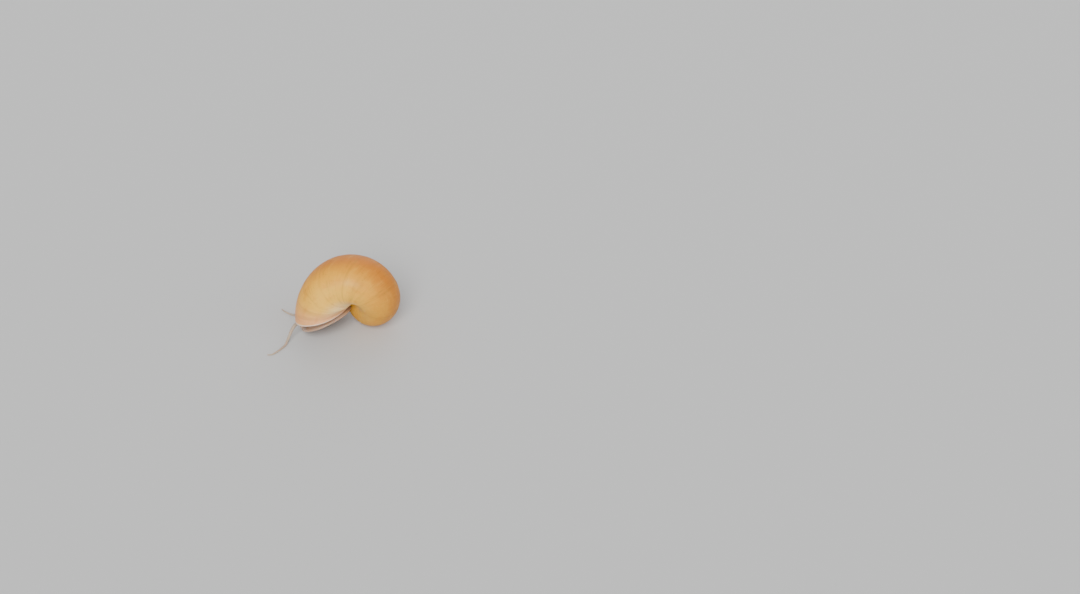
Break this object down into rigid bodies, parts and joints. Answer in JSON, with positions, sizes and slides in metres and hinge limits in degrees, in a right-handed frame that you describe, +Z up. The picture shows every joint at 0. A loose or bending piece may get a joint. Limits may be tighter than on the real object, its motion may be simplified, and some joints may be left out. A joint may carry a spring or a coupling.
{
  "type": "apple snail",
  "caption": "Golden apple snail lying on its round coiled shell, operculum a little open, long tentacles stretched out along the ground.",
  "frame": {"origin": "on the floor, under the middle of the whole object", "axes": "+X from the tentacle tips at the left of the picture to the round of the last whorl at the right, +Y away from the camera, +Z up; the spire looks away from the camera"},
  "size_m": [0.0548, 0.0338, 0.0325],
  "materials": {
    "shell": "satin orange-gold shell with fine growth lines and a paler lip",
    "operculum": "dull reddish-brown horn with concentric growth rings",
    "mantle": "moist, soft flesh",
    "flesh": "moist, soft, pale pinkish-cream flesh",
    "foot": "moist, soft, pale grey-lilac flesh",
    "tentacle": "moist, thin, pale cream flesh",
    "eye": "glossy black"
  },
  "bodies": {
    "root": {"shell": "shell", "operculum": "operculum", "mantle": "mantle", "siphon": "mantle", "head": "flesh", "palp_left": "flesh", "palp_right": "flesh", "eyestalk_left": "flesh", "eyestalk_right": "flesh", "foot_front": "foot", "foot_rear": "foot", "tentacle_left_1": "tentacle", "tentacle_left_2": "tentacle", "tentacle_left_3": "tentacle", "tentacle_right_1": "tentacle", "tentacle_right_2": "tentacle", "tentacle_right_3": "tentacle", "eye_left": "eye", "eye_right": "eye"}
  },
  "joints": []
}
